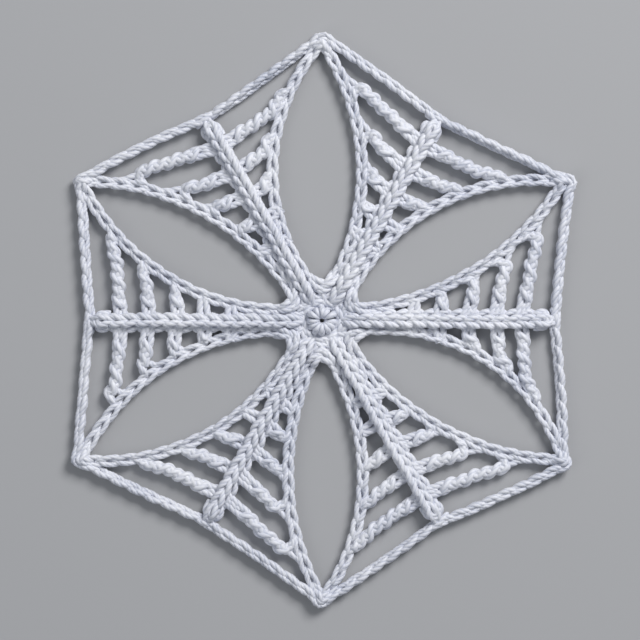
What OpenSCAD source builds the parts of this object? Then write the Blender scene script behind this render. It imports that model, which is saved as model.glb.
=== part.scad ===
// Six-armed crocheted snowflake ornament, lying flat with its front up.
// Every run of stitches is a solid of its own: ribs, edges, rungs, border chains, knots and hub.
// The origin is on the table under the centre hole. Arm 1 points along +X, and the corners
// lie halfway between the arms. Left and right are as seen looking out along an arm, from above.
// On the plan of an arm, u runs out along its rib and v to the left.

/* [Overall shape] */
// Distance from the centre to the middle of each corner knot
corner_r = 38.9; // [36:0.1:46]
// Distance from the centre to the middle of the stitch at each rib's tip
tip_r = 32.3; // [29:0.1:36]

/* [Chain stitch] */
// Radius of each of the two strands on the front of a chain
leg_r = 0.47; // [0.4:0.01:0.55]
// Distance between those two strands, middle to middle
leg_spacing = 0.76; // [0.6:0.01:0.85]
// Radius of the strand on the back of a chain
bump_r = 0.45; // [0.4:0.01:0.55]
// Height of the front strands over the back one, middle to middle
leg_rise = 0.5; // [0.4:0.01:0.6]
// Height of the chains' underside over the table
lift = 0.1; // [0.05:0.01:0.3]

/* [Edges] */
// How far a left-hand edge runs straight beside the rib, past the button, before it bends away
left_edge_straight = 0.85; // [0.3:0.05:3]
// The same for a right-hand edge, which leaves the rib later
right_edge_straight = 4.8; // [3.5:0.1:5.5]

/* [Rib] */
// Radius of the two strands stacked in the stem of a rib
rib_stem_r = 0.55; // [0.45:0.01:0.65]
// Radius of each of the two strands on top of a rib
rib_strand_r = 0.55; // [0.45:0.01:0.65]
// Distance between those two strands, middle to middle
rib_strand_spacing = 1.2; // [0.9:0.01:1.25]

/* [Rungs] */
// Number of rungs on each side of a rib
rung_count = 5; // [3:1:6]
// Distance from one rung to the next along the rib
rung_pitch = 3.9; // [3:0.1:4]
// Distance from the foot of the last right-hand rung to the border
right_rung_gap = 4.3; // [3.6:0.1:6]
// Distance from the foot of the last left-hand rung to the border
left_rung_gap = 4.3; // [3.8:0.1:6]
// Angle by which the rungs lean outwards
rung_lean = 5; // [0:0.5:7]
// Radius of the bow of the left-hand rungs
left_bow_r = 15; // [14:0.5:30]
// Radius of each of the two strands of a rung
rung_strand_r = 0.48; // [0.4:0.01:0.55]
// Distance between those two strands, middle to middle
rung_strand_spacing = 0.9; // [0.6:0.01:0.95]

/* [Hub] */
// Radius of the button
button_r = 2.15; // [1.8:0.05:2.6]
// Height of the button's upright side
button_wall_h = 1.4; // [1.1:0.05:1.8]
// Radius of the hole through the button
eyelet_r = 0.3; // [0.2:0.01:0.45]
// Number of lobes round the button
lobe_count = 12; // [8:1:12]
// Radius of each lobe
lobe_r = 0.52; // [0.4:0.01:0.6]
// How far the lobes stand out from the swelling between them
lobe_stand = 0.3; // [0.15:0.05:0.4]
// How far the lobes sit in from the button's side
lobe_inset = 0.05; // [0.02:0.01:0.1]

/* [Knots] */
// Radius of each corner knot
corner_knot_r = 1.45; // [1.2:0.05:1.8]
// Height of each corner knot
corner_knot_h = 1.9; // [1.7:0.05:2.3]
// Radius of the stitch at each rib's tip
tip_stitch_r = 1.2; // [1.1:0.05:1.5]
// Height of the stitch at each rib's tip
tip_stitch_h = 2; // [1.7:0.05:2.1]
// Radius of the stitch at the inner end of each leaf-shaped gap
leaf_stitch_r = 0.8; // [0.75:0.05:0.9]
// Height of that stitch
leaf_stitch_h = 1.45; // [1.2:0.05:1.5]
// Distance between that stitch and the hub's ring of chain
leaf_stitch_gap = 0.2; // [0.05:0.05:0.6]

/* [Fit] */
// Gap left between pieces that lie against each other
seat_gap = 0.02; // [0.01:0.01:0.05]

/* [Hidden] */
$fn = 64;
arm_count = 6;
sector = 360 / arm_count;
colour = "ghostwhite";

// Heights of the strands in a chain and a rung
bump_z = lift + bump_r;
leg_z = bump_z + leg_rise;
rung_z = (bump_z + leg_z) / 2;
chain_half_w = leg_spacing / 2 + leg_r;

// The edges start beside the rib's stem and under its top strands
edge_root_v = rib_stem_r + seat_gap + chain_half_w;
rib_overhang = rib_stem_r + seat_gap + leg_r - rib_strand_spacing / 2;
rib_strand_z = leg_z + sqrt(pow(rib_strand_r + leg_r + seat_gap, 2) - pow(rib_overhang, 2));
rib_low_z = lift + rib_stem_r;
rib_high_z = (rib_low_z + rib_strand_z) / 2;

// Ring of chain round the button, and the stitches at the inner ends of the leaf-shaped gaps
ring_r = button_r + seat_gap + chain_half_w;
hub_r = ring_r + chain_half_w;
leaf_stitch_at = hub_r + leaf_stitch_gap + leaf_stitch_r;

// Button's lobes, and the ring-shaped swelling between them and the hole
lobe_at = button_r - lobe_inset - lobe_r;
swell_r = (button_r - lobe_inset - lobe_stand - eyelet_r) / 2;

// Corner to the left of arm 1
corner = corner_r * [cos(sector / 2), sin(sector / 2)];

// Where the border comes nearest to the centre, measured along the rib
border_u = min(tip_r, corner.x);

// Size of cutters, which reach past everything
over = 2 * corner_r;

// An edge is level with the rib up to its bend, and goes on as an arc that ends in the corner
function edge_bend(right) = [button_r + (right ? right_edge_straight : left_edge_straight), edge_root_v];
function edge_r(right) = let (reach = corner - edge_bend(right)) (reach * reach) / (2 * reach.y);
function edge_middle(right) = edge_bend(right) + [0, edge_r(right)];
function edge_angle(right) = asin((corner.x - edge_bend(right).x) / edge_r(right));

// Foot of a rung on the middle of the rib, counted in from the border
function rung_foot(i, gap) = [border_u - gap - i * rung_pitch, 0];

// Where a line from that foot, leaning outwards, meets the middle of the edge
function rung_head(foot, right) =
    let (
        way = [sin(rung_lean), cos(rung_lean)],
        to_middle = edge_middle(right) - foot,
        along = way * to_middle
    )
    foot + way * (along - sqrt(along * along - to_middle * to_middle + pow(edge_r(right), 2)));

// Cross-sections, with X across the run and Y up. grow makes a cutter that leaves a gap
module chain_section(grow = 0) {
    for (side = [-1, 1])
        translate([side * leg_spacing / 2, leg_z])
            circle(leg_r + grow);
    translate([0, bump_z])
        circle(bump_r + grow);
}

module rib_section() {
    for (z = [rib_low_z, rib_high_z])
        translate([0, z])
            circle(rib_stem_r);
    for (side = [-1, 1])
        translate([side * rib_strand_spacing / 2, rib_strand_z])
            circle(rib_strand_r);
}

module rung_section() {
    for (side = [-1, 1])
        translate([side * rung_strand_spacing / 2, rung_z])
            circle(rung_strand_r);
}

// A straight run of the section given as a child, from one point on the plan to another
module straight_run(from, to) {
    way = to - from;
    translate(from)
        rotate([90, 0, atan2(way.y, way.x) + 90])
            linear_extrude(norm(way))
                children();
}

// A run that bows to the right of the straight way, with a given radius of bow
module bowed_run(from, to, bow_r) {
    way = to - from;
    half_angle = asin(norm(way) / 2 / bow_r);
    heading = atan2(way.y, way.x);
    middle = (from + to) / 2 + bow_r * cos(half_angle) * [-sin(heading), cos(heading)];
    translate(middle)
        rotate(heading - 90 - half_angle)
            rotate_extrude(angle = 2 * half_angle)
                translate([bow_r, 0])
                    children();
}

// A round stitch: a ball that is flat below, where it stands on the table, and on top
module round_stitch(r, h, grow = 0) {
    intersection() {
        translate([0, 0, h / 2])
            sphere(r + grow);
        translate([0, 0, -grow])
            cylinder(r = over, h = h + 2 * grow);
    }
}

module corner_stitch(grow = 0) {
    translate(corner)
        round_stitch(corner_knot_r, corner_knot_h, grow);
}

module tip_stitch(grow = 0) {
    translate([tip_r, 0])
        round_stitch(tip_stitch_r, tip_stitch_h, grow);
}

module leaf_stitch(grow = 0) {
    rotate(sector / 2)
        translate([leaf_stitch_at, 0])
            round_stitch(leaf_stitch_r, leaf_stitch_h, grow);
}

// Upright cylinder that clears the hub's ring of chain
module hub_cutter() {
    translate([0, 0, -over / 2])
        cylinder(r = hub_r + seat_gap, h = over);
}

// Everything past the line halfway to the next arm on the left
module next_sector_cutter() {
    rotate(sector / 2)
        translate([-over / 2, -seat_gap / 2, -over / 2])
            cube(over);
}

// Everything to the right of the left-hand side of the rib's stem
module rib_cutter() {
    translate([-over / 2, rib_stem_r + seat_gap - over, -over / 2])
        cube(over);
}

// An edge and everything past it, in the leaf-shaped gap
module edge_cutter(right) {
    translate([edge_middle(right).x, edge_middle(right).y, -over / 2])
        cylinder(r = edge_r(right) + chain_half_w + seat_gap, h = over);
}

module mirrored_if(right) {
    mirror([0, right ? 1 : 0, 0])
        children();
}

// Raised rib along the middle of an arm
module rib() {
    color(colour)
        difference() {
            straight_run([0, 0], [tip_r, 0])
                rib_section();
            hub_cutter();
            tip_stitch(seat_gap);
        }
}

// Chain from the hub to a corner along one side of an arm, straight at first and then curved
module edge(right) {
    color(colour)
        mirrored_if(right)
            difference() {
                union() {
                    straight_run([button_r, edge_root_v], edge_bend(right))
                        chain_section();
                    translate(edge_middle(right))
                        rotate(-90)
                            rotate_extrude(angle = edge_angle(right))
                                translate([edge_r(right), 0])
                                    chain_section();
                }
                hub_cutter();
                next_sector_cutter();
                leaf_stitch(seat_gap);
                corner_stitch(seat_gap);
            }
}

// Posts between the rib and one edge: bowed on the left side, straight on the right
module rungs(right) {
    color(colour)
        for (i = [0:rung_count - 1])
            mirrored_if(right)
                difference() {
                    foot = rung_foot(i, right ? right_rung_gap : left_rung_gap);
                    if (right)
                        straight_run(foot, rung_head(foot, right))
                            rung_section();
                    else
                        bowed_run(foot, rung_head(foot, right), left_bow_r)
                            rung_section();
                    rib_cutter();
                    edge_cutter(right);
                }
}

// Straight chain of the border, from a rib's tip to a corner
module border_chain(right) {
    color(colour)
        mirrored_if(right)
            difference() {
                straight_run([tip_r, 0], corner)
                    chain_section();
                tip_stitch(seat_gap);
                corner_stitch(seat_gap);
                edge_cutter(right);
            }
}

// Ring of chain that the arms spring from
module hub_ring() {
    color(colour)
        rotate_extrude()
            translate([ring_r, 0])
                chain_section();
}

// Lobed button in the middle, with a hole through it
module centre_button() {
    color(colour)
        difference() {
            union() {
                cylinder(r = button_r, h = button_wall_h);
                translate([0, 0, button_wall_h])
                    rotate_extrude()
                        translate([eyelet_r + swell_r, 0])
                            circle(swell_r);
                for (i = [0:lobe_count - 1])
                    rotate(i * 360 / lobe_count)
                        translate([lobe_at, 0, button_wall_h])
                            sphere(lobe_r);
            }
            translate([0, 0, -over / 2])
                cylinder(r = eyelet_r, h = over);
        }
}

// Six stitches, each closing the inner end of a leaf-shaped gap
module leaf_end_stitches() {
    color(colour)
        for (k = [1:arm_count])
            on_arm(k)
                leaf_stitch();
}

module on_arm(k) {
    rotate((k - 1) * sector)
        children();
}

centre_button();
hub_ring();
leaf_end_stitches();
for (k = [1:arm_count]) {
    on_arm(k) rib();
    on_arm(k) edge(false);
    on_arm(k) edge(true);
    on_arm(k) rungs(false);
    on_arm(k) rungs(true);
    on_arm(k) border_chain(false);
    on_arm(k) border_chain(true);
    on_arm(k) color(colour) tip_stitch();
    on_arm(k) color(colour) corner_stitch();
}
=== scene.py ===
# %% [markdown]
# # A crocheted snowflake
# The ornament is one white cotton thread, worked with a fine hook into loops and then stiffened, so it
# lies flat and holds its shape. This lesson lays that thread again: each run of stitches becomes a tube
# that loops and twists along a guide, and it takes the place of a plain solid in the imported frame.

# %% Load the frame
import math
import random

import bmesh
import bpy
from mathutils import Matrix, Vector


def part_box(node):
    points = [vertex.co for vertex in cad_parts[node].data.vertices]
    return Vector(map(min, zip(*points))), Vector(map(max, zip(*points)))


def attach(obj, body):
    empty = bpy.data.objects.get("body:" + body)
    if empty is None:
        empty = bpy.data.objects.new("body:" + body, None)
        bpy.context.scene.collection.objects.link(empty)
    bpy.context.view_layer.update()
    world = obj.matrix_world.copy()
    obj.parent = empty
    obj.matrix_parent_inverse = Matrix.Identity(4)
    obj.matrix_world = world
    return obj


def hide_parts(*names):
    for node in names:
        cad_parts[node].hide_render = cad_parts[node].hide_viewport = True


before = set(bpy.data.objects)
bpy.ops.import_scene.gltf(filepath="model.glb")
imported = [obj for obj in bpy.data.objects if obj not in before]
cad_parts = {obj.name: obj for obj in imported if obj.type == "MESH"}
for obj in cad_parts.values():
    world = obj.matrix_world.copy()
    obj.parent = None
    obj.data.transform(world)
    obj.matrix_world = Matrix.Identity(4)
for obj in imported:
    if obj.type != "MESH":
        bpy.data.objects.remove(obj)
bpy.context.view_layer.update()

MM = 0.001

# %% [markdown]
# ## The camera
# The ornament is seen from straight above, with one corner at the top. A long lens far away keeps the
# hexagon true, where a short lens would spread the middle. It is made first, so that every piece can be
# looked at from the same place while the lesson goes on.

# %% Camera
VIEW_WIDTH = 89.6 * MM
VIEW_HEIGHT = 0.5
VIEW_MIDDLE = Vector((-0.3 * MM, 0.1 * MM, 0.0))
SENSOR_WIDTH = 36.0


def new_object(name, data):
    """A new object in the scene."""
    added = bpy.data.objects.new(name, data)
    bpy.context.scene.collection.objects.link(added)
    return added


camera_data = bpy.data.cameras.new("straight_above")
camera_data.sensor_width = SENSOR_WIDTH
camera_data.lens = SENSOR_WIDTH * VIEW_HEIGHT / VIEW_WIDTH
camera = new_object("straight_above", camera_data)
camera.location = VIEW_MIDDLE + Vector((0.0, 0.0, VIEW_HEIGHT))
bpy.context.scene.camera = camera
print("lens of", round(camera_data.lens), "mm")

# %% [markdown]
# ## Where everything lies
# The frame already says where each knot and each ring is. The main sizes could be typed in again, but they
# are measured from the frame, so the thread follows if a solid changes. On the plan of an arm, u runs out
# along the rib and v to its left, and the right-hand side is the same with v turned round.

# %% Sizes from the frame
ARMS = 6
SECTOR = 2 * math.pi / ARMS
LEFT, RIGHT = 1, -1


def middle_of(node):
    """Middle of a node's box."""
    low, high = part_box(node)
    return (low + high) / 2


corner = middle_of("corner_knot_1")
tip_u = middle_of("tip_stitch_1").x
button_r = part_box("centre_button")[1].x
hub_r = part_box("hub_ring")[1].x
ring_r = (button_r + hub_r) / 2
half_chain = (hub_r - button_r) / 2
edge_root_v = half_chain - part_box("arm_1_right_edge")[1].y
print("ribs end at %.1f mm and corners lie at %.1f, %.1f mm" % (tip_u / MM, corner.x / MM, corner.y / MM))

# %% [markdown]
# ### The line of an edge
# The edge of an arm lies beside the rib at first, longer so on the right, and is then an arc that ends in
# the corner knot. Only one arc leaves the straight smoothly and ends there, so its radius is worked out and
# not chosen. No line of the real lace is quite true, so every edge is also pulled in or let out by its own
# part of a millimetre.

# %% Line of an edge
EDGE_STRAIGHT = {LEFT: 0.85 * MM, RIGHT: 4.8 * MM}
EDGE_PULL = {LEFT: (-0.4, 0.5, 0.0, 0.6, -0.3, -0.3), RIGHT: (0.7, -0.1, 0.8, -0.5, -0.3, -0.5)}
edge_bend_u, edge_r, edge_length = {}, {}, {}
for side, straight in EDGE_STRAIGHT.items():
    edge_bend_u[side] = button_r + straight
    reach = Vector((corner.x - edge_bend_u[side], corner.y - edge_root_v))
    edge_r[side] = reach.length_squared / (2 * reach.y)
    edge_length[side] = straight + edge_r[side] * math.asin(reach.x / edge_r[side])


def edge_at(arm, side, length, inset=0.0):
    """Point on an arm's edge, so far along it and so far in towards the rib."""
    inset += EDGE_PULL[side][arm - 1] * MM * math.sin(math.pi * length / edge_length[side])
    past = length - EDGE_STRAIGHT[side]
    if past < 0:
        return button_r + length, edge_root_v - inset
    angle = past / edge_r[side]
    reach = edge_r[side] + inset
    return edge_bend_u[side] + reach * math.sin(angle), edge_root_v + edge_r[side] - reach * math.cos(angle)


print("edges of %.1f and %.1f mm" % (edge_length[LEFT] / MM, edge_length[RIGHT] / MM))

# %% [markdown]
# ## Cotton thread as a material
# Mercerised cotton is smooth, bright and a little silky, with fine fibres that wind round with the plies.
# The fibres follow the thread and not the table, so the finish reads attributes that the thread keeps
# along its length and round its section. A soft sheen and a little light passed inside give the glow of
# white cotton, and a slow change of tone over the ornament keeps it from looking printed. The grooves
# between the plies are painted darker and bluer, as painted shade for the shadow that falls in them.

# %% Cotton material
# Painted shade: the darker, bluer colour given to the ply grooves, for the shadow that falls in them.
COTTON_PAINTED_SHADE = (0.50, 0.535, 0.64, 1.0)
COTTON_COOL = (0.71, 0.732, 0.823, 1.0)
COTTON_BRIGHT = (0.84, 0.855, 0.91, 1.0)
COOL_AT = 0.4
FIBRE_NOISE = {"Scale": 8.0, "Detail": 4.0}
TONE_NOISE = {"Scale": 130.0, "Detail": 2.0}
# How far the grooves are darkened towards the painted shade.
PAINTED_GROOVE_SHADE = -0.36
SHADE_RANGE = (0.55, 1.2)
FIBRE_RANGE = (0.3, 0.7)
ROUGHNESS_RANGE = (0.6, 0.4)
FIBRE_BUMP = {"Strength": 0.6, "Distance": 0.05 * MM}
SILK = {"Specular IOR Level": 0.55, "Sheen Weight": 0.15, "Sheen Roughness": 0.4, "Subsurface Weight": 0.1,
        "Subsurface Radius": (1.0, 1.0, 1.0), "Subsurface Scale": 0.25 * MM}


def put(tree, kind, *values, sockets=None, **settings):
    """Add a node: values go to its first sockets in order, and sockets names others."""
    node = tree.nodes.new(kind)
    for name, value in settings.items():
        setattr(node, name, value)
    for key, value in [*enumerate(values), *(sockets or {}).items()]:
        if isinstance(value, bpy.types.NodeSocket):
            tree.links.new(value, node.inputs[key])
        else:
            node.inputs[key].default_value = value
    return node


cotton = bpy.data.materials.new("cotton_thread")
cotton.use_nodes = True
finish = cotton.node_tree
skin = finish.nodes["Principled BSDF"]
around = put(finish, "ShaderNodeAttribute", attribute_name="thread_around").outputs["Vector"]
along = put(finish, "ShaderNodeAttribute", attribute_name="thread_along").outputs["Fac"]
run = put(finish, "ShaderNodeCombineXYZ", sockets={"Z": along}).outputs[0]
on_thread = put(finish, "ShaderNodeVectorMath", around, run, operation="ADD").outputs["Vector"]
fibres = put(finish, "ShaderNodeTexNoise", on_thread, sockets=FIBRE_NOISE).outputs[0]
place = put(finish, "ShaderNodeTexCoord").outputs["Object"]
tone = put(finish, "ShaderNodeTexNoise", place, sockets=TONE_NOISE).outputs[0]
mixed = put(finish, "ShaderNodeMath", fibres, tone, operation="ADD").outputs[0]
# Painted shade: the deeper in a groove, the darker and bluer the colour, for the shadow between plies.
grooves = put(finish, "ShaderNodeAttribute", attribute_name="thread_groove").outputs["Fac"]
shaded = put(finish, "ShaderNodeMath", grooves, PAINTED_GROOVE_SHADE, mixed, operation="MULTIPLY_ADD").outputs[0]
lightness = put(finish, "ShaderNodeMapRange", shaded, *SHADE_RANGE).outputs[0]
colours = put(finish, "ShaderNodeValToRGB", lightness)
colours.color_ramp.elements[0].color = COTTON_PAINTED_SHADE
colours.color_ramp.elements.new(COOL_AT).color = COTTON_COOL
colours.color_ramp.elements[2].color = COTTON_BRIGHT
rough = put(finish, "ShaderNodeMapRange", fibres, *FIBRE_RANGE, *ROUGHNESS_RANGE).outputs[0]
bump = put(finish, "ShaderNodeBump", sockets={**FIBRE_BUMP, "Height": fibres})
finish.links.new(colours.outputs["Color"], skin.inputs["Base Color"])
finish.links.new(rough, skin.inputs["Roughness"])
finish.links.new(bump.outputs["Normal"], skin.inputs["Normal"])
for socket_name, value in SILK.items():
    skin.inputs[socket_name].default_value = value
print("cotton has", len(finish.nodes), "nodes")

# %% [markdown]
# ## Smooth runs as guides
# A thread has no sharp corners, so its lines are drawn as a few points and a smooth run is laid through
# them. A curve with handles would do it too, but points alone are easier to read and to move. Each run
# becomes a spline of a curve object, and that is the guide along which thread is laid.

# %% Runs and guides
SMOOTH_STEPS = 8


def eased(points, steps=SMOOTH_STEPS):
    """A smooth run from the second of these points to the last but one, through all between."""
    smooth_run = []
    for four in zip(points, points[1:], points[2:], points[3:]):
        for t in [step / steps for step in range(steps)]:
            smooth_run.append(tuple(
                b + 0.5 * t * (c - a + t * (2 * a - 5 * b + 4 * c - d + t * (3 * b - a - 3 * c + d)))
                for a, b, c, d in zip(*four)))
    return smooth_run + [tuple(points[-2])]


def through(*points, steps=SMOOTH_STEPS):
    """A smooth run through all these points."""
    return eased([points[0], *points, points[-1]], steps)


def guide_object(name, runs):
    """A curve of one spline for each run; a fourth number on a point is the thread's thickness there."""
    curve = bpy.data.curves.new(name, "CURVE")
    curve.dimensions = "3D"
    for points in runs:
        spline = curve.splines.new("POLY")
        spline.points.add(len(points) - 1)
        for spot, (x, y, z, *thickness) in zip(spline.points, points):
            spot.co = (x, y, z, 1.0)
            spot.radius = thickness[0] if thickness else 1.0
    return new_object(name, curve)


print("a run through 3 points has", len(through((0, 0), (1, 1), (2, 0))), "points")

# %% [markdown]
# ## The shape of one stitch
# A chain stitch is a single loop pulled through the loop before it. Its two legs lie side by side on the
# front, its head goes under the next loop, and the thread then runs on along the back as a bump. One such
# loop is drawn here as points with a length of 1, so that the next loop carries on where it ends.
# The fourth number is how plump the thread is: it swells where it lies free and is squeezed where loops
# cross. An open chain holds its legs further apart, so a small hole stays in each loop, and in the braid
# of a rib the legs slant, so each loop makes a V. A wound post is two strands that wind round each other,
# which is a turn of a screw line and the same turn on the other side. A plain strand just follows its
# guide.

# %% Stitches drawn as points
CHAIN_LEG = [(0.00, 0.20, -0.20, 0.86), (0.27, 0.52, 0.36, 1.0), (0.64, 0.93, 0.48, 1.14),
             (1.00, 1.02, 0.12, 1.08), (1.26, 0.58, -0.22, 0.92), (1.35, 0.00, -0.32, 0.86)]
OPEN_LEG = [(0.00, 0.18, -0.20, 0.95), (0.27, 0.6, 0.34, 1.05), (0.64, 1.04, 0.42, 0.94),
            (1.00, 1.04, 0.10, 0.98), (1.26, 0.56, -0.22, 1.0), (1.35, 0.00, -0.32, 0.95)]
BRAID_LEG = [(0.00, 0.12, -0.25, 0.8), (0.25, 0.32, 0.25, 1.0), (0.62, 0.70, 0.50, 1.14),
             (1.00, 1.02, 0.30, 1.1), (1.28, 0.82, -0.12, 0.92), (1.42, 0.40, -0.36, 0.85),
             (1.45, 0.00, -0.42, 0.82)]
BACK_BUMP = [(0.02, -0.28, -0.12, 0.88), (-0.12, -0.40, -0.50, 0.88), (0.04, -0.75, -0.95, 0.92),
             (0.45, -0.86, -1.05, 0.95), (0.8, -0.34, -0.85, 0.92)]
TURN_STEPS = 12


def whole_loop(leg):
    """A loop: up one leg to the head, down the same leg on the other side, and on along the back."""
    return leg + [(x, -y, z, plump) for x, y, z, plump in reversed(leg[1:-1])] + BACK_BUMP


def stitch_object(name, points):
    """One stitch that the next one carries on, as a hidden guide."""
    def moved(point, way):
        return (point[0] + way, *point[1:])
    again = [moved(points[-1], -1), *points, moved(points[0], 1), moved(points[1], 1)]
    stitch = guide_object(name, [eased(again)])
    stitch.hide_render = True
    return stitch


turns = [2 * math.pi * step / TURN_STEPS for step in range(TURN_STEPS)]
screw = [(a / (2 * math.pi), math.cos(a), -math.sin(a), 1.0) for a in turns]
chain_stitch = stitch_object("chain_stitch", whole_loop(CHAIN_LEG))
open_stitch = stitch_object("open_stitch", whole_loop(OPEN_LEG))
braid_stitch = stitch_object("braid_stitch", whole_loop(BRAID_LEG))
twist_one = stitch_object("twist_one", screw)
twist_two = stitch_object("twist_two", [(x, -y, -z, plump) for x, y, z, plump in screw])
plain_strand = stitch_object("plain_strand", [(x, 0.0, 0.0, plump) for x, y, z, plump in screw])
print("chain stitch of", len(whole_loop(CHAIN_LEG)), "points")

# %% [markdown]
# ## A node tree that crochets
# Every run of the ornament is the same thread laid along a different guide, so one tree makes them all.
# It could be modelled loop by loop, but a tree keeps each size as a named input, and fits a whole number
# of stitches to each guide by itself. First come its inputs.

# %% Inputs of the thread tree
TREE_INPUTS = [
    ("Stitch", "NodeSocketObject"), ("Stitch Length", "NodeSocketFloat"), ("Fit", "NodeSocketFloat"),
    ("Points per Stitch", "NodeSocketInt"), ("Width", "NodeSocketFloat"), ("Height", "NodeSocketFloat"),
    ("Foot Spread", "NodeSocketFloat"), ("Head Spread", "NodeSocketFloat"),
    ("Spread Length", "NodeSocketFloat"),
    ("Roll", "NodeSocketFloat"), ("Roll Drift", "NodeSocketFloat"),
    ("Thread Radius", "NodeSocketFloat"), ("Ply Length", "NodeSocketFloat"), ("Ply Depth", "NodeSocketFloat"),
    ("Wobble", "NodeSocketFloat"), ("Seed", "NodeSocketFloat"), ("Material", "NodeSocketMaterial"),
]
crochet = bpy.data.node_groups.new("crochet_thread", "GeometryNodeTree")
crochet.interface.new_socket("Geometry", in_out="INPUT", socket_type="NodeSocketGeometry")
crochet.interface.new_socket("Geometry", in_out="OUTPUT", socket_type="NodeSocketGeometry")
for input_name, kind in TREE_INPUTS:
    crochet.interface.new_socket(input_name, in_out="INPUT", socket_type=kind)
given = put(crochet, "NodeGroupInput").outputs


def calc(operation, *values):
    """Output of a Math node."""
    return put(crochet, "ShaderNodeMath", *values, operation=operation).outputs[0]


def vector(operation, *values):
    """Output of a Vector Math node."""
    return put(crochet, "ShaderNodeVectorMath", *values, operation=operation).outputs["Vector"]


def scaled(arrow, factor):
    """A vector times a number."""
    times = put(crochet, "ShaderNodeVectorMath", arrow, sockets={"Scale": factor}, operation="SCALE")
    return times.outputs[0]


def kept(geometry, domain, value):
    """Keep a value on the geometry, so that later nodes still read it after the shape has changed."""
    keeper = put(crochet, "GeometryNodeCaptureAttribute", domain=domain)
    keeper.capture_items.new("FLOAT", "Kept")
    crochet.links.new(geometry, keeper.inputs[0])
    crochet.links.new(value, keeper.inputs[1])
    return keeper.outputs[0], keeper.outputs[1]


print("thread tree with", len(TREE_INPUTS), "inputs")

# %% [markdown]
# ### From guide to stitches
# The guide is cut into stitches of about the wanted length. Each new point works out which stitch it is
# in and how far through that stitch it has come, and reads the drawn loop at that place. The loop's x
# says how far along the guide to look, and its y and z how far to the side and up.

# %% Walk along the guide in stitches
guide_length = put(crochet, "GeometryNodeSplineLength").outputs["Length"]
fitted = calc("ROUND", calc("DIVIDE", guide_length, calc("MULTIPLY", given["Stitch Length"], given["Fit"])))
stitch_count = calc("MULTIPLY", calc("MAXIMUM", fitted, 1.0), given["Fit"])
guide, length = kept(given["Geometry"], "CURVE", guide_length)
guide, count = kept(guide, "CURVE", stitch_count)
point_count = calc("ADD", calc("CEIL", calc("MULTIPLY", stitch_count, given["Points per Stitch"])), 1.0)
fine = put(crochet, "GeometryNodeResampleCurve", guide, sockets={"Count": point_count}).outputs[0]

walked = calc("MULTIPLY", put(crochet, "GeometryNodeSplineParameter").outputs["Factor"], length)
pitch = calc("DIVIDE", length, count)
spot = calc("DIVIDE", walked, pitch)
drawn = put(crochet, "GeometryNodeObjectInfo", given["Stitch"]).outputs["Geometry"]
drawn_radius = put(crochet, "GeometryNodeInputRadius").outputs[0]
loop = put(crochet, "GeometryNodeSampleCurve", drawn, mode="FACTOR",
           sockets={"Value": drawn_radius, "Factor": calc("FRACT", spot)})
ahead, aside, raised = put(crochet, "ShaderNodeSeparateXYZ", loop.outputs["Position"]).outputs[:3]
reached = calc("MULTIPLY", calc("ADD", calc("FLOOR", spot), ahead), pitch)
within = calc("MINIMUM", calc("MAXIMUM", reached, 0.0), length)
own_guide = put(crochet, "GeometryNodeCurveOfPoint").outputs["Curve Index"]
read = put(crochet, "GeometryNodeSampleCurve", guide, mode="LENGTH", use_all_curves=False,
           sockets={"Length": within, "Curve Index": own_guide})
heading = read.outputs["Tangent"]
past_end = scaled(heading, calc("SUBTRACT", reached, within))
on_guide = vector("ADD", read.outputs["Position"], past_end)
print("walk uses", len(crochet.nodes), "nodes")

# %% [markdown]
# ### Hand tension
# No two loops made by hand are alike. The run rolls a little round its guide, the loops wander by a few
# hundredths of a millimetre, and a run can widen or close at its ends, where it hooks into the work.
# Noise with a seed gives the rolling and the wandering, and the same seed always gives the same ornament.

# %% Roll, spread and wobble
DRIFT_RATE = 120.0
WOBBLE_RATE = 300.0
NOISE_MIDDLE = 0.5
UPRIGHT = (0.0, 0.0, 1.0)


def parted(distance, spread):
    """Extra width near an end of a run, fading out over the spread length."""
    near = put(crochet, "ShaderNodeMapRange", distance, 0.0, given["Spread Length"], 1.0, 0.0,
               interpolation_type="SMOOTHSTEP").outputs[0]
    return calc("MULTIPLY", near, spread)


to_head = calc("SUBTRACT", length, reached)
widening = calc("ADD", parted(reached, given["Foot Spread"]), parted(to_head, given["Head Spread"]))
wide = calc("MULTIPLY", calc("MULTIPLY", aside, given["Width"]), calc("ADD", widening, 1.0))
high = calc("MULTIPLY", raised, given["Height"])
drift_place = calc("ADD", calc("MULTIPLY", reached, DRIFT_RATE), given["Seed"])
drift = put(crochet, "ShaderNodeTexNoise", noise_dimensions="1D", sockets={"W": drift_place, "Scale": 1.0})
drifted = calc("MULTIPLY", calc("SUBTRACT", drift.outputs[0], NOISE_MIDDLE), given["Roll Drift"])
roll = calc("ADD", given["Roll"], drifted)
cosine, sine = calc("COSINE", roll), calc("SINE", roll)
sideways = calc("SUBTRACT", calc("MULTIPLY", wide, cosine), calc("MULTIPLY", high, sine))
upwards = calc("ADD", calc("MULTIPLY", wide, sine), calc("MULTIPLY", high, cosine))
to_side = vector("NORMALIZE", vector("CROSS_PRODUCT", UPRIGHT, heading))
lifted = put(crochet, "ShaderNodeCombineXYZ", sockets={"Z": upwards}).outputs[0]
laid = vector("ADD", vector("ADD", on_guide, scaled(to_side, sideways)), lifted)
shake = put(crochet, "ShaderNodeTexNoise", laid, noise_dimensions="4D",
            sockets={"W": given["Seed"], "Scale": WOBBLE_RATE, "Detail": 1.0}).outputs["Color"]
wander = scaled(vector("SUBTRACT", shake, (NOISE_MIDDLE, NOISE_MIDDLE, NOISE_MIDDLE)), given["Wobble"])
fine, plumpness = kept(fine, "POINT", loop.outputs["Value"])
thread_line = put(crochet, "GeometryNodeSetPosition", fine, sockets={"Position": vector("ADD", laid, wander)})
print("hand tension brings the tree to", len(crochet.nodes), "nodes")

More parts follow.
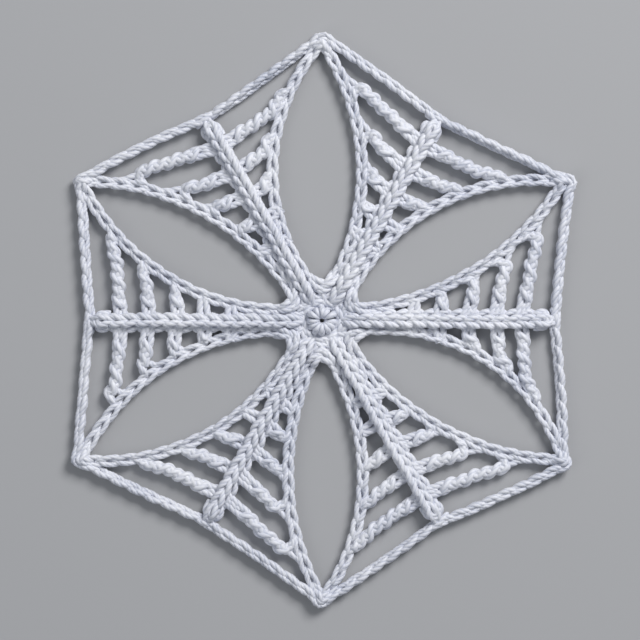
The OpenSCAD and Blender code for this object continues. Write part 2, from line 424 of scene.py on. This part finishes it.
# %% [markdown]
# ### From line to spun thread
# The thread is three plies twisted together, so its section is a circle with three shallow grooves, and
# the section turns as it goes along. Curve to Mesh sweeps it, and three attributes are stored on the way
# for the material: how far along the thread a point is, which way round it lies, and how deep in a groove.

# %% Sweep the plies
PLIES = 3
SECTION_POINTS = 18
GROOVE_SHARPNESS = 2.0
FIBRES_PER_METRE = 350.0


def stored(geometry, name, value, kind="FLOAT"):
    """Store an attribute for the material on the points."""
    return put(crochet, "GeometryNodeStoreNamedAttribute", geometry, data_type=kind, domain="POINT",
               sockets={"Name": name, "Value": value}).outputs[0]


thread_run = put(crochet, "GeometryNodeSplineParameter").outputs["Length"]
turned = calc("MULTIPLY", calc("DIVIDE", thread_run, given["Ply Length"]), 2 * math.pi)
twisted = put(crochet, "GeometryNodeSetCurveTilt", thread_line.outputs[0], sockets={"Tilt": turned})
thread = stored(twisted.outputs[0], "thread_along", calc("MULTIPLY", thread_run, FIBRES_PER_METRE))

ring = put(crochet, "GeometryNodeCurvePrimitiveCircle", sockets={"Resolution": SECTION_POINTS, "Radius": 1.0})
ring_place = put(crochet, "GeometryNodeInputPosition").outputs[0]
ring_turn = calc("MULTIPLY", put(crochet, "GeometryNodeSplineParameter").outputs["Factor"], math.pi * PLIES)
groove = calc("POWER", calc("SUBTRACT", 1.0, calc("ABSOLUTE", calc("SINE", ring_turn))), GROOVE_SHARPNESS)
depth = calc("SUBTRACT", 1.0, calc("MULTIPLY", groove, given["Ply Depth"]))
marked = stored(ring.outputs[0], "thread_around", ring_place, "FLOAT_VECTOR")
# The groove depth also tells the material where to paint shade between the plies.
grooved = stored(marked, "thread_groove", groove)
section = put(crochet, "GeometryNodeSetPosition", grooved, sockets={"Position": scaled(ring_place, depth)})

own_radius = put(crochet, "GeometryNodeInputRadius").outputs[0]
thickness = calc("MULTIPLY", given["Thread Radius"], calc("MULTIPLY", own_radius, plumpness))
tube = put(crochet, "GeometryNodeCurveToMesh", thread, section.outputs[0],
           sockets={"Scale": thickness, "Fill Caps": True})
smooth = put(crochet, "GeometryNodeSetShadeSmooth", tube.outputs[0])
real = put(crochet, "GeometryNodeRealizeInstances", smooth.outputs[0])
dressed = put(crochet, "GeometryNodeSetMaterial", real.outputs[0], sockets={"Material": given["Material"]})
put(crochet, "NodeGroupOutput", dressed.outputs[0])
print("whole thread tree has", len(crochet.nodes), "nodes")

# %% [markdown]
# ## Laying a run
# A run is made by putting the tree on a guide, and is then turned into a plain mesh, so that nothing has to
# be worked out again later. Every run gets a seed of its own, or all of them would wander alike. Legs, ties
# and wraps are plain strands, which need no stitch.

# %% Lay a run
PLY_LENGTH = 3.0 * MM
PLY_DEPTH = 0.2
CHAIN_POINTS = 44
STRAND_STEP = 2.0 * MM
STRAND_POINTS = 14
SEED_STEP = 7
sockets_of = {item.name: item.identifier for item in crochet.interface.items_tree
              if item.item_type == "SOCKET" and item.in_out == "INPUT"}
runs_laid = 0


def lay(stitch, guides, **sizes):
    """Lay the thread along the guides in the given stitch, and give back the mesh."""
    global runs_laid
    runs_laid += 1
    values = {
        "Stitch": stitch, "Fit": 1.0, "Points per Stitch": CHAIN_POINTS, "Width": 0.0, "Height": 0.0,
        "Foot Spread": 0.0, "Head Spread": 0.0, "Spread Length": MM, "Roll": 0.0, "Roll Drift": 0.0,
        "Ply Length": PLY_LENGTH, "Ply Depth": PLY_DEPTH, "Wobble": 0.0, "Seed": float(SEED_STEP * runs_laid),
        "Material": cotton,
    }
    values.update({name.replace("_", " "): value for name, value in sizes.items()})
    source = guide_object("guide", guides)
    laying = source.modifiers.new("crochet", "NODES")
    laying.node_group = crochet
    for name, value in values.items():
        laying[sockets_of[name]] = value
    depsgraph = bpy.context.evaluated_depsgraph_get()
    mesh = bpy.data.meshes.new_from_object(source.evaluated_get(depsgraph), depsgraph=depsgraph)
    line = source.data
    bpy.data.objects.remove(source)
    bpy.data.curves.remove(line)
    return mesh


def lay_plain(guides, points=STRAND_POINTS, **sizes):
    """Lay plain strands along the guides."""
    return lay(plain_strand, guides, Stitch_Length=STRAND_STEP, Points_per_Stitch=points, **sizes)


print("inputs of the tree:", len(sockets_of))

# %% [markdown]
# ## Handing a piece over
# Runs that belong to one element of the lace are joined into one piece. They could stay apart as many small
# meshes, but one piece for each node of the frame is easier to find again. The piece rides on the ornament's
# only body, stands for its node, and takes the cotton finish.

# %% Hand a piece over
def lace_piece(name, node, *meshes):
    """Join runs into one piece that stands for a node of the frame."""
    joined = bmesh.new()
    for mesh in meshes:
        joined.from_mesh(mesh)
    body = bpy.data.meshes.new(name)
    joined.to_mesh(body)
    joined.free()
    body.materials.append(cotton)
    for mesh in meshes:
        bpy.data.meshes.remove(mesh)
    piece = new_object(name, body)
    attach(piece, "root")
    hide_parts(node)
    return piece


def faces_in(pieces):
    """Number of faces in a list of pieces."""
    return sum(len(piece.data.polygons) for piece in pieces)


# %% [markdown]
# ## Plans of the arms
# The six arms are nearly alike, so each line is drawn on the plan of an arm, and then turned to where its
# arm lies. Copies of one finished arm would be quicker, but they would look stamped. A hand-made line is
# never quite true, so guides also sway by a small seeded amount, each in its own way.

# %% Arms and sway
LUCK_SEED = 12
arms = range(1, ARMS + 1)
sides = (("left", LEFT), ("right", RIGHT))
luck = random.Random(LUCK_SEED)


def on_arm(arm, points, side=LEFT):
    """Turn points of an arm's plan to where that arm lies; the first arm points along X."""
    cosine, sine = math.cos((arm - 1) * SECTOR), math.sin((arm - 1) * SECTOR)
    placed = []
    for u, v, *rest in points:
        placed.append((u * cosine - side * v * sine, u * sine + side * v * cosine, *rest))
    return placed


def swayed(points, amount):
    """A guide on a plan with its middle pushed gently to one side or the other, as by hand."""
    first, second = luck.uniform(-amount, amount), luck.uniform(-amount, amount)
    start, end = Vector(points[0][:2]), Vector(points[-1][:2])
    across = (end - start).normalized().orthogonal()
    moved = []
    for i, (x, y, *rest) in enumerate(points):
        turn = math.pi * i / (len(points) - 1)
        push = across * (first * math.sin(turn) + second * math.sin(2 * turn))
        moved.append((x + push.x, y + push.y, *rest))
    return moved


print("arms stand %.0f degrees apart" % math.degrees(SECTOR))

# %% [markdown]
# ## Edges
# A chain runs along both sides of every arm, out from the hub to a corner and back down the next arm, so
# each leaf-shaped gap has one unbroken line of chain round it. The right-hand runs are therefore laid from
# the corner inwards. It is worked loosely, so the open stitch is used, which leaves a row of tiny holes,
# and it rolls a little from side to side on its way.

# %% Edges
EDGE_POINTS = 40
EDGE_Z = {LEFT: 1.06 * MM, RIGHT: 1.11 * MM}
EDGE_ROLL = {LEFT: 0.05, RIGHT: 0.2}
EDGE_SWAY = 0.1 * MM
EDGE_IN_RING = 1.2 * MM
EDGE_CHAIN = dict(Stitch_Length=2.4 * MM, Width=0.5 * MM, Height=0.46 * MM, Thread_Radius=0.4 * MM,
                  Roll_Drift=0.8, Wobble=0.16 * MM)
edge_inner = hub_r - EDGE_IN_RING - button_r
edges = []
for arm in arms:
    for side_name, side in sides:
        step = (edge_length[side] - edge_inner) / EDGE_POINTS
        line = [(*edge_at(arm, side, edge_inner + i * step), EDGE_Z[side]) for i in range(EDGE_POINTS + 1)]
        line = swayed(on_arm(arm, line, side), EDGE_SWAY)
        if side == RIGHT:
            line.reverse()
        chain = lay(open_stitch, [line], Roll=EDGE_ROLL[side], **EDGE_CHAIN)
        name = "arm_%d_%s_edge" % (arm, side_name)
        edges.append(lace_piece(name + "_chain", name, chain))
print(len(edges), "edges with", faces_in(edges), "faces")

# %% [markdown]
# ## Border
# A straight chain goes all round, from corner to rib's tip to corner. It hangs free between them and is
# pulled tight, so it has rolled over on its side, and what shows of each loop is mostly one leg that slants
# over the next, as in a slim rope. It is the same chain as elsewhere, with its roll set to nearly a quarter
# turn, one way on the left halves and the other way on the right ones. At its outer end it bends round the
# corner.

# %% Border
BORDER_SHARES = (0.0, 0.25, 0.5, 0.75, 0.93)
BORDER_Z = 1.05 * MM
BORDER_OUT = 0.1 * MM
BORDER_SWAY = 0.3 * MM
BORDER_OVERLAP = 0.7 * MM
BORDER_FLARE = 0.4 * MM
BORDER_ROLL = {LEFT: -1.5, RIGHT: 1.5}
BORDER_ROLL_LUCK = 0.3
BORDER_CHAIN = dict(Stitch_Length=2.5 * MM, Width=0.36 * MM, Height=0.44 * MM, Thread_Radius=0.43 * MM,
                    Roll_Drift=0.8, Wobble=0.2 * MM)
ROUND_CORNER = [(0.5, -0.5), (0.45, 0.1), (0.05, 0.45)]
CORNER_LIFT = {LEFT: 0.2, RIGHT: -0.1}
corner_turn = SECTOR / 2
borders = []
for arm in arms:
    for side_name, side in sides:
        stops = []
        for share in BORDER_SHARES:
            u = tip_u + BORDER_OUT + (corner.x - tip_u + BORDER_FLARE) * share
            stops.append((u, corner.y * share - BORDER_OVERLAP * (1 - share), BORDER_Z))
        for w, t in ROUND_CORNER:
            u = corner.x + (w * math.cos(corner_turn) - t * math.sin(corner_turn)) * MM
            v = corner.y + (w * math.sin(corner_turn) + t * math.cos(corner_turn)) * MM
            stops.append((u, v, BORDER_Z + CORNER_LIFT[side] * MM))
        line = swayed(on_arm(arm, through(*stops), side), BORDER_SWAY)
        if side == RIGHT:
            line.reverse()
        border_roll = BORDER_ROLL[side] + luck.uniform(-BORDER_ROLL_LUCK, BORDER_ROLL_LUCK)
        chain = lay(chain_stitch, [line], Roll=border_roll, **BORDER_CHAIN)
        name = "border_%d_%s" % (arm, side_name)
        borders.append(lace_piece(name + "_run", name + "_chain", chain))
print(len(borders), "border runs with", faces_in(borders), "faces")

# %% [markdown]
# ## Ribs
# Down the middle of each arm a second chain is worked on top of the first, so it stands up as a braid. The
# chain below is wider, lies a little to the left and shows along both sides. It starts only where the edges
# have left the rib, since nearer to the hub there is no room for it. Each braid leans a little to a side of
# its own, as a row of loops does when it is pressed flat.

# %% Ribs
RIB_POINTS = 24
RIB_SWAY = 0.14 * MM
RIB_ROLL = (0.0, 0.1, -0.35, 0.1, 0.35, -0.25)
BRAID_Z = 1.98 * MM
BRAID_DIP = 0.75 * MM
DIP_RATE = 6
BRAID_START = 0.5 * MM
BRAID_STOP = 1.3 * MM
BASE_FROM = 6.0 * MM
BASE_Z = 0.98 * MM
BASE_V = 0.28 * MM
BRAID_CHAIN = dict(Stitch_Length=1.95 * MM, Width=0.62 * MM, Height=0.45 * MM, Thread_Radius=0.42 * MM,
                   Roll_Drift=1.0, Wobble=0.36 * MM)
BASE_CHAIN = dict(Stitch_Length=1.9 * MM, Width=0.95 * MM, Height=0.45 * MM, Thread_Radius=0.44 * MM,
                  Foot_Spread=-0.45, Spread_Length=4.0 * MM, Roll_Drift=0.3, Wobble=0.16 * MM)
braid_from = button_r + BRAID_START
braid_to = tip_u - BRAID_STOP
ribs = []
for arm in arms:
    top_line, base_line = [], []
    for i in range(RIB_POINTS + 1):
        share = i / RIB_POINTS
        u = braid_from + (braid_to - braid_from) * share
        dip = BRAID_DIP * max(0.0, 1 - share * DIP_RATE) ** 2
        top_line.append((u, 0.0, BRAID_Z - dip))
        base_line.append((BASE_FROM + (braid_to - BASE_FROM) * share, BASE_V, BASE_Z))
    top_line = swayed(on_arm(arm, top_line), RIB_SWAY)
    braid = lay(braid_stitch, [top_line], Roll=RIB_ROLL[arm - 1], **BRAID_CHAIN)
    base = lay(chain_stitch, [on_arm(arm, base_line)], **BASE_CHAIN)
    name = "arm_%d_rib" % arm
    ribs.append(lace_piece(name + "_braid", name, braid, base))
print(len(ribs), "ribs with", faces_in(ribs), "faces")

# %% [markdown]
# ## Rungs
# Five rungs on each side of a rib reach out to the edge, and lean a little away from the hub. Where each one
# ends could be read off a drawing, but it is where a leaning line meets the arc of the edge, so it is worked
# out.

# %% Where a rung meets the edge
RUNG_COUNT = 5
RUNG_PITCH = 3.9 * MM
RUNG_GAP = 4.3 * MM
RUNG_LEAN = math.radians(5)


def edge_crossing(foot_u, side):
    """How far along the edge a leaning line from the rib meets it, and how long that line is."""
    way = Vector((math.sin(RUNG_LEAN), math.cos(RUNG_LEAN)))
    to_middle = Vector((edge_bend_u[side] - foot_u, edge_root_v + edge_r[side]))
    forward = way.dot(to_middle)
    reach = forward - math.sqrt(forward ** 2 - to_middle.length_squared + edge_r[side] ** 2)
    past_bend = edge_r[side] * math.asin((foot_u + way.x * reach - edge_bend_u[side]) / edge_r[side])
    return EDGE_STRAIGHT[side] + past_bend, reach


tallest = [edge_crossing(tip_u - RUNG_GAP, side)[1] / MM for side_name, side in sides]
print("tallest rungs reach %.1f and %.1f mm" % tuple(tallest))

# %% [markdown]
# ### Heads and forks
# On the left the heads of the posts hook back along the edge towards the hub, on some arms more than on
# others, and on the right they sweep on towards the corner. A short strand on the other side of each head
# makes it a fork, and where the heads hardly hook, as on one arm, it turns to the hub instead. One head could
# do for all, but the eye goes to them first, so each side has its own. Their points are given as way along
# the edge, inset from it, and thickness, and those of a left head are measured from a straight line on.

# %% Heads and forks
HOOK = (0.9, 0.8, 0.75, 0.3, 0.8, 0.85)
STRAIGHT_ON = (-0.7, -0.7, -0.7, -1.05, -0.7, -0.7)
HEAD = {LEFT: [(1.5, 2.1, 0.95), (0.9, 1.5, 0.86), (-0.05, 1.0, 0.76), (-1.1, 0.65, 0.6), (-2.1, 0.3, 0.46)],
        RIGHT: [(0.05, 0.95, 0.95), (0.4, 0.5, 0.75), (0.85, 0.25, 0.55)]}
FORK = {LEFT: [(0.75, 1.25, 0.9), (1.2, 0.9, 0.85), (1.9, 0.7, 0.75), (2.6, 0.45, 0.6)],
        RIGHT: [(-0.45, 1.15, 0.9), (-0.8, 0.8, 0.85), (-1.25, 0.5, 0.7), (-1.7, 0.3, 0.6)]}
FORK_BACK = [(-2.6, 1.25, 0.9), (-2.8, 0.9, 0.85), (-3.15, 0.7, 0.75), (-3.6, 0.45, 0.6)]
FORK_BACK_ARM = 4


def head_and_fork(arm, side):
    """Points of a head and of its fork."""
    if side == RIGHT:
        return HEAD[RIGHT], FORK[RIGHT]
    straight, hook = STRAIGHT_ON[arm - 1], HOOK[arm - 1]
    head = [(straight * inset + hook * way, inset, thick) for way, inset, thick in HEAD[LEFT]]
    fork = FORK_BACK if arm == FORK_BACK_ARM else FORK[LEFT]
    return head, fork


print("left heads hook by %.2f to %.2f" % (min(HOOK), max(HOOK)))

# %% [markdown]
# ### The strands of a rung
# Each rung is a tall stitch: the thread goes round the hook several times, so it stands as a post of strands
# wound round each other. One thick core stands for the turns that are hidden inside, and two strands wind
# round it. The foot is two legs on the rib with a short one between them, and they leave a small hole below
# the first turn. On the left the posts bow out, and on the right they stand straight. Nearest to the hub
# there is room only for a stub of two plain legs.

# %% Guides of one rung
RUNG_FOOT_V = 0.5 * MM
RUNG_Z = 1.14 * MM
HEAD_Z = 1.0 * MM
STUB_REACH = 3.4 * MM
STUB_BEND = 0.5
STUB_CLOSE = 0.5
HOLE_V = {LEFT: 3.3 * MM, RIGHT: 2.2 * MM}
HOLE_LUCK = (0.75, 1.2)
HOLE_SHARE = 0.42
HOLE_APART = 0.6 * MM
LEG_APART = 0.5 * MM
LEG_SPLAY = 0.4 * MM
SIDE_LEG = [(-0.6 * MM, LEG_APART), (0.0, HOLE_APART), (0.7 * MM, LEG_APART), (1.3 * MM, 0.2 * MM)]
MIDDLE_LEG = [(-1.0 * MM, 1.0), (-0.55 * MM, 0.7)]
BOW_SHARE = 0.1
BOW_LUCK = (0.6, 1.3)
BOW_TO = 0.7
SHOULDER_RISE = 0.8 * MM
SHOULDER_ROOM = 1.2 * MM
POST_DROP = 0.3 * MM
CORE_RISE = 0.5 * MM
CORE_ROOM = 0.9 * MM
POST_TAPER, CORE_TAPER, FORK_TAPER = 0.6, 0.5, 0.4
HEAD_ROOM = 3.2
FULL_HEAD_REACH = {LEFT: 8.0 * MM, RIGHT: 6.0 * MM}


def rung_lines(arm, foot_u, side):
    """Guides of one rung: its wound post and thick core if it is tall enough, and its plain strands."""
    crossing, reach = edge_crossing(foot_u, side)
    share = min(1.0, reach / FULL_HEAD_REACH[side]) * MM
    bow = HOOK[arm - 1] * BOW_SHARE * reach * luck.uniform(*BOW_LUCK) if side == LEFT else 0.0
    hole_v = min(HOLE_V[side] * luck.uniform(*HOLE_LUCK), HOLE_SHARE * reach)

    def on_post(v, outwards=0.0, thick=1.0):
        u = foot_u + v * math.tan(RUNG_LEAN) + bow * min(1.0, v / (BOW_TO * reach))
        return u + outwards, v, RUNG_Z, thick

    def by_edge(spots):
        return [(*edge_at(arm, side, crossing + way * share, inset * share), HEAD_Z, thick)
                for way, inset, thick in spots]

    if reach < STUB_REACH:
        stubs = []
        for leg in (-LEG_APART, LEG_APART):
            bend, end = on_post(STUB_BEND * reach, leg), on_post(reach, STUB_CLOSE * leg)
            stubs.append(through(on_post(RUNG_FOOT_V, leg), bend, end))
        return [], [], stubs
    middle_leg = [on_post(hole_v + rise, 0.0, thick) for rise, thick in MIDDLE_LEG]
    legs = [through(on_post(RUNG_FOOT_V), *middle_leg)]
    for way in (-1, 1):
        splayed = LEG_APART + luck.uniform(0.0, LEG_SPLAY)
        side_leg = [on_post(hole_v + rise, way * apart) for rise, apart in SIDE_LEG]
        legs.append(through(on_post(RUNG_FOOT_V, way * splayed), *side_leg))
    top_v = min(BOW_TO * reach, reach - HEAD_ROOM * share)
    head_spots, fork_spots = head_and_fork(arm, side)
    head = [on_post(top_v), *by_edge(head_spots)]
    shoulder = [on_post(hole_v + SHOULDER_RISE)] if hole_v + SHOULDER_ROOM < top_v else []
    post = through(on_post(hole_v - POST_DROP, 0.0, POST_TAPER), *shoulder, *head)
    core = through(on_post(min(hole_v, top_v - CORE_ROOM) + CORE_RISE, 0.0, CORE_TAPER), *shoulder, *head)
    fork = through(on_post(top_v, 0.0, FORK_TAPER), *by_edge(fork_spots))
    return [post], [core], [*legs, fork]


print("rungs shorter than %.1f mm are stubs" % (STUB_REACH / MM))

# %% [markdown]
# ### Laying the rungs
# All rungs on one side of an arm stand for one node, so their guides are gathered first and then laid
# together. The two wound strands get the same seed, or they would roll apart and no longer wind round each
# other.

# %% Rungs
FOOT_LUCK = 0.22 * MM
RUNG_POINTS = 12
SEEDS_PER_ARM = 10
TWIST_LENGTH = {LEFT: 3.5 * MM, RIGHT: 3.2 * MM}
WINDINGS = ((twist_two, 0.6 * MM, 0.5 * MM), (twist_one, 0.42 * MM, 0.52 * MM))
WINDING_FLATNESS = 0.75
WINDING_STRAND = dict(Fit=0.5, Points_per_Stitch=26, Head_Spread=-0.65, Spread_Length=3.0 * MM,
                      Roll_Drift=1.4, Ply_Length=5.0 * MM, Wobble=0.3 * MM)
CORE_STRAND = dict(Thread_Radius=0.76 * MM, Wobble=0.3 * MM)
LEG_STRAND = dict(Thread_Radius=0.5 * MM, Wobble=0.2 * MM)
rungs = []
for arm in arms:
    for side_name, side in sides:
        posts, cores, legs = [], [], []
        for i in range(RUNG_COUNT):
            foot_u = tip_u - RUNG_GAP - i * RUNG_PITCH + luck.uniform(-FOOT_LUCK, FOOT_LUCK)
            for kind, lines in zip((posts, cores, legs), rung_lines(arm, foot_u, side)):
                kind += [on_arm(arm, line, side) for line in lines]
        seed = float(SEEDS_PER_ARM * arm + side)
        runs = [lay(stitch, posts, Stitch_Length=TWIST_LENGTH[side], Width=wide_by, Thread_Radius=thick,
                    Height=WINDING_FLATNESS * wide_by, Seed=seed, **WINDING_STRAND)
                for stitch, wide_by, thick in WINDINGS]
        runs.append(lay_plain(cores, RUNG_POINTS, **CORE_STRAND))
        runs.append(lay_plain(legs, RUNG_POINTS, **LEG_STRAND))
        name = "arm_%d_%s" % (arm, side_name)
        rungs.append(lace_piece(name + "_posts", name + "_rungs", *runs))
print(len(rungs), "sets of rungs with", faces_in(rungs), "faces")

# %% [markdown]
# ## Hub
# The arms spring from a small ring of chain, and a finer chain inside it is the seat of the button. Both are
# the chain from before on a round guide. The guide's last point lies on its first, so that the ring closes.

# %% Ring of chain
RING_POINTS = 48
RING_Z = 0.95 * MM
SEAT_R = 2.5 * MM
SEAT_Z = 0.84 * MM
RING_CHAIN = dict(Stitch_Length=2.1 * MM, Width=0.45 * MM, Height=0.45 * MM, Thread_Radius=0.45 * MM,
                  Roll_Drift=0.8, Wobble=0.15 * MM)
SEAT_CHAIN = dict(Stitch_Length=1.5 * MM, Width=0.34 * MM, Height=0.4 * MM, Thread_Radius=0.38 * MM,
                  Roll_Drift=0.8, Wobble=0.2 * MM)


def round_guide(radius, z):
    """Points all round the middle, with the first one again at the end."""
    angles = [2 * math.pi * i / RING_POINTS for i in range(RING_POINTS + 1)]
    return [(radius * math.cos(angle), radius * math.sin(angle), z) for angle in angles]


ring_chain = lay(chain_stitch, [round_guide(ring_r, RING_Z)], **RING_CHAIN)
seat_chain = lay(chain_stitch, [round_guide(SEAT_R, SEAT_Z)], **SEAT_CHAIN)
hub = lace_piece("hub_ring_chain", "hub_ring", ring_chain, seat_chain)
print("hub ring with", faces_in([hub]), "faces")

# %% [markdown]
# ### Leaf ends
# At the inner end of every leaf-shaped gap a short chain bridges from one arm to the next, and a bent strand
# on its inner side closes what is left of the gap. Only half of each bend is drawn, in millimetres, and the
# other half is the same on the other side.

# %% Leaf ends
BETWEEN = 0.5
BRIDGE = [(6.3, 1.72, 1.0), (5.7, 1.32, 1.4), (5.15, 0.68, 1.55), (4.95, 0.0, 1.55)]
INNER_BRIDGE = [(4.75, 1.15, 1.2), (4.3, 0.6, 1.55), (4.12, 0.0, 1.6)]
BRIDGE_CHAIN = dict(Stitch_Length=2.3 * MM, Width=0.46 * MM, Height=0.4 * MM, Thread_Radius=0.44 * MM,
                    Roll_Drift=0.6, Wobble=0.15 * MM)
BRIDGE_STRAND = dict(Thread_Radius=0.44 * MM, Wobble=0.2 * MM)


def both_halves(half):
    """Points of a bend, drawn up to its middle, and on down its other half."""
    return half + [(u, -v, z) for u, v, z in reversed(half[:-1])]


def in_metres(points, from_u=0.0, side=LEFT):
    """Points drawn in millimetres, so far out along an arm, and on either side of it."""
    return [(from_u + u * MM, side * v * MM, z * MM, *thick) for u, v, z, *thick in points]


def bridge_lines(half):
    """A bend across the inner end of every gap."""
    bend = through(*in_metres(both_halves(half)))
    return [on_arm(arm + BETWEEN, bend) for arm in arms]


outer_bridges = lay(chain_stitch, bridge_lines(BRIDGE), **BRIDGE_CHAIN)
inner_bridges = lay_plain(bridge_lines(INNER_BRIDGE), **BRIDGE_STRAND)
bridges = lace_piece("leaf_end_bridges", "leaf_end_stitches", outer_bridges, inner_bridges)
print("leaf ends with", faces_in([bridges]), "faces")

# %% [markdown]
# ## Button
# In the very middle sits a small round stitch with a hole, like a flower: a dozen wraps of thread go up out
# of the hole and over the rim. Near the hole the wraps are squeezed together, so the thread gets thinner
# there, by the thickness that is set on the guide's own points.

# %% Button
PETALS = 12
PETAL = [(0.40, 0.45, 0.22), (0.38, 1.25, 0.24), (0.52, 1.8, 0.35), (0.92, 2.18, 0.6), (1.36, 2.12, 0.86),
         (1.7, 1.66, 1.0), (1.74, 1.1, 1.02), (1.5, 0.5, 1.0)]
PETAL_LUCK = 0.1
PETAL_STEPS = 4
PETAL_STRAND = dict(Thread_Radius=0.45 * MM, Ply_Depth=0.05, Wobble=0.3 * MM)
petals = []
for i in range(PETALS):
    angle = 2 * math.pi * i / PETALS + luck.uniform(-PETAL_LUCK, PETAL_LUCK)
    cosine, sine = math.cos(angle), math.sin(angle)
    wider, higher, fatter = [1 + luck.uniform(-PETAL_LUCK, PETAL_LUCK) for draw in range(3)]
    petals.append(through(*[(r * wider * cosine * MM, r * wider * sine * MM, z * higher * MM, thick * fatter)
                            for r, z, thick in PETAL], steps=PETAL_STEPS))
button = lace_piece("centre_button_wraps", "centre_button", lay_plain(petals, **PETAL_STRAND))
print("button with", faces_in([button]), "faces")

# %% [markdown]
# ## Tips
# At its tip each rib turns round on itself, in both of its layers, and a slip stitch ties it to the border.
# These are short strands with their own turns, so their points are listed one by one and made smooth.

# %% Tip stitches
TIP_TURN = [(-2.8, 1.02, 1.0), (-1.5, 0.98, 1.15), (-0.9, 0.55, 1.35), (-0.65, 0.0, 1.45)]
BRAID_END = [(-2.4, 0.55, 2.0), (-1.6, 0.56, 2.02), (-1.15, 0.32, 1.95), (-1.0, 0.0, 1.9)]
SLIP = [(-2.2, 0.5, 1.9, 0.9), (-1.2, 0.5, 1.95, 1.0), (-0.55, 0.42, 1.75, 0.95), (-0.1, 0.3, 1.5, 0.9),
        (0.2, 0.2, 1.1, 0.85), (0.1, 0.1, 0.6, 0.8)]
TIP_STRAND = dict(Thread_Radius=0.43 * MM, Wobble=0.2 * MM)
tips = []
for arm in arms:
    lines = [through(*in_metres(both_halves(half), tip_u)) for half in (TIP_TURN, BRAID_END)]
    lines += [through(*in_metres(SLIP, tip_u, side)) for side_name, side in sides]
    wrap = lay_plain([on_arm(arm, line) for line in lines], **TIP_STRAND)
    name = "tip_stitch_%d" % arm
    tips.append(lace_piece(name + "_wrap", name, wrap))
print(len(tips), "tip stitches with", faces_in(tips), "faces")

# %% [markdown]
# ## Corners
# In the corners the border bends round the ends of two edges, and two short ties over the top draw all of
# them together. They are worked from either hand, so a draw of luck turns each corner one way or the other.

# %% Corner knots
CORNER_TIE = [(-1.5, 0.8, 0.5), (-1.1, 0.7, 1.3), (-0.5, 0.3, 1.75), (0.1, -0.05, 1.7), (0.4, -0.2, 1.2),
              (0.3, -0.2, 0.6)]
CORNER_LOOP = [(-1.5, -0.8, 0.5), (-1.1, -0.65, 1.3), (-0.55, -0.15, 1.7), (-0.1, 0.3, 1.5), (0.1, 0.5, 0.9)]
KNOT_POINTS = 16
KNOT_STRAND = dict(Thread_Radius=0.43 * MM, Wobble=0.25 * MM)
corner_r = Vector(corner[:2]).length
knots = []
for arm in arms:
    hand = luck.choice((LEFT, RIGHT))
    ties = [through(*in_metres(tie, corner_r, hand)) for tie in (CORNER_TIE, CORNER_LOOP)]
    knot = lay_plain([on_arm(arm + BETWEEN, tie) for tie in ties], KNOT_POINTS, **KNOT_STRAND)
    name = "corner_knot_%d" % arm
    knots.append(lace_piece(name + "_thread", name, knot))
print(len(knots), "knots with", faces_in(knots), "faces")

# %% [markdown]
# ## Floor
# A plain pale grey floor lets the white lace stand out. One large face is enough, since only its colour and
# the shadows on it are seen.

# %% Floor
FLOOR_SIZE = 2.0
FLOOR_COLOUR = (0.42, 0.425, 0.44, 1.0)
FLOOR_ROUGHNESS = 0.85
half_floor = FLOOR_SIZE / 2
floor_mesh = bpy.data.meshes.new("floor")
floor_mesh.from_pydata([(-half_floor, -half_floor, 0), (half_floor, -half_floor, 0),
                        (half_floor, half_floor, 0), (-half_floor, half_floor, 0)], [], [(0, 1, 2, 3)])
floor = new_object("floor", floor_mesh)
pale = bpy.data.materials.new("pale_floor")
pale.use_nodes = True
pale.node_tree.nodes["Principled BSDF"].inputs["Base Color"].default_value = FLOOR_COLOUR
pale.node_tree.nodes["Principled BSDF"].inputs["Roughness"].default_value = FLOOR_ROUGHNESS
floor_mesh.materials.append(pale)
print("floor", FLOOR_SIZE, "m wide")

# %% [markdown]
# ## Light
# A broad soft lamp from the upper right gives the loops their round shading and short shadows. A weak lamp
# from the other side keeps the shadows open, and an even sky fills in from all round.

# %% Lamps and sky
KEY_LAMP = dict(place=(0.32, 0.42, 0.48), size=0.3, watts=4.4, tint=(1.0, 0.99, 0.98))
FILL_LAMP = dict(place=(-0.5, -0.25, 0.5), size=0.5, watts=0.7, tint=(0.95, 0.97, 1.0))
SKY_COLOUR = (0.91, 0.95, 1.0, 1.0)
SKY_STRENGTH = 0.28


def soft_lamp(name, place, size, watts, tint):
    """A square lamp that looks at the middle of the ornament."""
    lamp_data = bpy.data.lights.new(name, "AREA")
    lamp_data.size = size
    lamp_data.energy = watts
    lamp_data.color = tint
    lamp = new_object(name, lamp_data)
    lamp.location = place
    lamp.rotation_euler = (-Vector(place)).to_track_quat("-Z", "Y").to_euler()


soft_lamp("key_lamp", **KEY_LAMP)
soft_lamp("fill_lamp", **FILL_LAMP)
sky = bpy.data.worlds.new("even_sky")
sky.use_nodes = True
sky.node_tree.nodes["Background"].inputs["Color"].default_value = SKY_COLOUR
sky.node_tree.nodes["Background"].inputs["Strength"].default_value = SKY_STRENGTH
bpy.context.scene.world = sky
bpy.context.scene.view_settings.view_transform = "Standard"
print("two lamps and a sky")

# %% [markdown]
# ## The drawn stitches go
# The drawn stitches are no longer needed, so they are removed.

# %% Remove the drawn stitches
for stitch in (chain_stitch, open_stitch, braid_stitch, twist_one, twist_two, plain_strand):
    drawn_curve = stitch.data
    bpy.data.objects.remove(stitch)
    bpy.data.curves.remove(drawn_curve)
